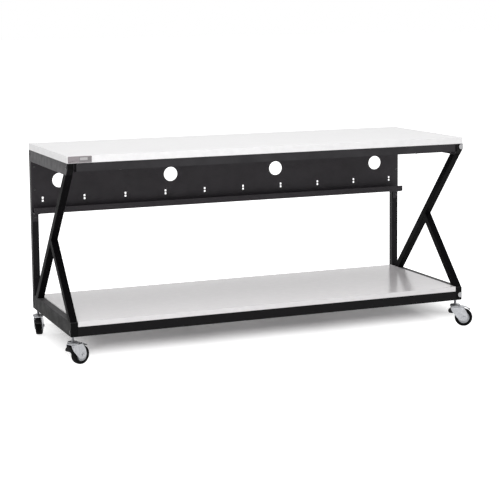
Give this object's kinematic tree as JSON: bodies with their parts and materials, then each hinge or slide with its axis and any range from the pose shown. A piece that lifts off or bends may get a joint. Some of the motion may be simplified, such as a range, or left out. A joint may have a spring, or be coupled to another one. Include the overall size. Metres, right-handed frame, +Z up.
{
  "type": "assembly table",
  "caption": "Long mobile assembly table: welded steel side frames with diagonal legs, white laminate top, lower shelf, rear cable panel with tray, and braked swivel casters.",
  "frame": {"origin": "middle of the whole table box, on the floor", "axes": "+X along the table to the right seen from the front, +Y to the rear, +Z up; the front faces -Y"},
  "size_m": [1.9108, 0.7082, 0.868],
  "materials": {
    "frame_black": "black powder coat, satin, fine grain",
    "panel_black": "black powder coat on folded sheet steel",
    "white_laminate": "white laminate on particle board, satin",
    "shelf_laminate": "pale grey laminate on particle board, semi-gloss",
    "white_edging": "white plastic edging band",
    "zinc": "bright zinc plate",
    "black_screws": "black oxide",
    "black_plastic": "black moulded plastic",
    "pale_cap": "pale grey moulded plastic",
    "badge_blank": "blank satin plate",
    "hub_grey": "grey moulded wheel centre",
    "tyre_black": "black rubber tread"
  },
  "bodies": {
    "frame": {"blank_badge_plate": "badge_blank", "bracket_bolts": "black_screws", "cable_panel": "panel_black", "corner_caps": "pale_cap", "frame_bolts": "black_screws", "front_bottom_rail": "frame_black", "front_top_rail": "frame_black", "left_bottom_rail": "frame_black", "left_diagonal_leg": "frame_black", "left_front_brace": "frame_black", "left_rear_post": "frame_black", "left_top_rail": "frame_black", "left_tray_bracket": "frame_black", "lower_shelf": "shelf_laminate", "panel_bolts": "black_screws", "rail_plugs": "black_plastic", "rear_bottom_rail": "frame_black", "rear_top_rail": "frame_black", "right_bottom_rail": "frame_black", "right_diagonal_leg": "frame_black", "right_front_brace": "frame_black", "right_rear_post": "frame_black", "right_top_rail": "frame_black", "right_tray_bracket": "frame_black", "shelf_cross_rails": "frame_black", "shelf_edging": "white_edging", "shelf_screws": "black_screws", "stem_nuts": "zinc", "top_cross_rails": "frame_black", "worktop": "white_laminate", "worktop_edging": "white_edging", "worktop_screws": "black_screws", "caster_front_left_stem": "zinc", "caster_front_right_stem": "zinc", "caster_rear_left_stem": "zinc", "caster_rear_right_stem": "zinc"},
    "front_left_fork": {"caster_front_left_fork": "zinc", "caster_front_left_axle": "zinc"},
    "front_left_wheel": {"caster_front_left_hub": "hub_grey", "caster_front_left_tyre": "tyre_black"},
    "front_left_pedal": {"caster_front_left_pedal": "black_plastic"},
    "front_right_fork": {"caster_front_right_fork": "zinc", "caster_front_right_axle": "zinc"},
    "front_right_wheel": {"caster_front_right_hub": "hub_grey", "caster_front_right_tyre": "tyre_black"},
    "front_right_pedal": {"caster_front_right_pedal": "black_plastic"},
    "rear_left_fork": {"caster_rear_left_fork": "zinc", "caster_rear_left_axle": "zinc"},
    "rear_left_wheel": {"caster_rear_left_hub": "hub_grey", "caster_rear_left_tyre": "tyre_black"},
    "rear_left_pedal": {"caster_rear_left_pedal": "black_plastic"},
    "rear_right_fork": {"caster_rear_right_fork": "zinc", "caster_rear_right_axle": "zinc"},
    "rear_right_wheel": {"caster_rear_right_hub": "hub_grey", "caster_rear_right_tyre": "tyre_black"},
    "rear_right_pedal": {"caster_rear_right_pedal": "black_plastic"}
  },
  "joints": [
    {"name": "front_left_swivel", "type": "hinge", "parent": "frame", "child": "front_left_fork", "pos_m": [-0.92134, -0.30802, 0.092], "axis": [0, 0, 1], "continuous": true},
    {"name": "front_left_wheel_spin", "type": "hinge", "parent": "front_left_fork", "child": "front_left_wheel", "pos_m": [-0.8869, -0.29196, 0.04], "axis": [-0.4226, 0.9063, 0], "continuous": true},
    {"name": "front_left_brake_pedal", "type": "hinge", "parent": "front_left_fork", "child": "front_left_pedal", "pos_m": [-0.93221, -0.31309, 0.08], "axis": [0.4226, -0.9063, 0], "range_deg": [0, 12]},
    {"name": "front_right_swivel", "type": "hinge", "parent": "frame", "child": "front_right_fork", "pos_m": [0.87766, -0.30802, 0.092], "axis": [0, 0, 1], "continuous": true},
    {"name": "front_right_wheel_spin", "type": "hinge", "parent": "front_right_fork", "child": "front_right_wheel", "pos_m": [0.91152, -0.32527, 0.04], "axis": [0.454, 0.891, 0], "continuous": true},
    {"name": "front_right_brake_pedal", "type": "hinge", "parent": "front_right_fork", "child": "front_right_pedal", "pos_m": [0.86697, -0.30257, 0.08], "axis": [-0.454, -0.891, 0], "range_deg": [0, 12]},
    {"name": "rear_left_swivel", "type": "hinge", "parent": "frame", "child": "rear_left_fork", "pos_m": [-0.92134, 0.27798, 0.092], "axis": [0, 0, 1], "continuous": true},
    {"name": "rear_left_wheel_spin", "type": "hinge", "parent": "rear_left_fork", "child": "rear_left_wheel", "pos_m": [-0.90834, 0.31369, 0.04], "axis": [-0.9397, 0.342, 0], "continuous": true},
    {"name": "rear_left_brake_pedal", "type": "hinge", "parent": "rear_left_fork", "child": "rear_left_pedal", "pos_m": [-0.92544, 0.26671, 0.08], "axis": [0.9397, -0.342, 0], "range_deg": [0, 12]},
    {"name": "rear_right_swivel", "type": "hinge", "parent": "frame", "child": "rear_right_fork", "pos_m": [0.87766, 0.27798, 0.092], "axis": [0, 0, 1], "continuous": true},
    {"name": "rear_right_wheel_spin", "type": "hinge", "parent": "rear_right_fork", "child": "rear_right_wheel", "pos_m": [0.91483, 0.28588, 0.04], "axis": [-0.2079, 0.9781, 0], "continuous": true},
    {"name": "rear_right_brake_pedal", "type": "hinge", "parent": "rear_right_fork", "child": "rear_right_pedal", "pos_m": [0.86592, 0.27549, 0.08], "axis": [0.2079, -0.9781, 0], "range_deg": [0, 12]}
  ]
}
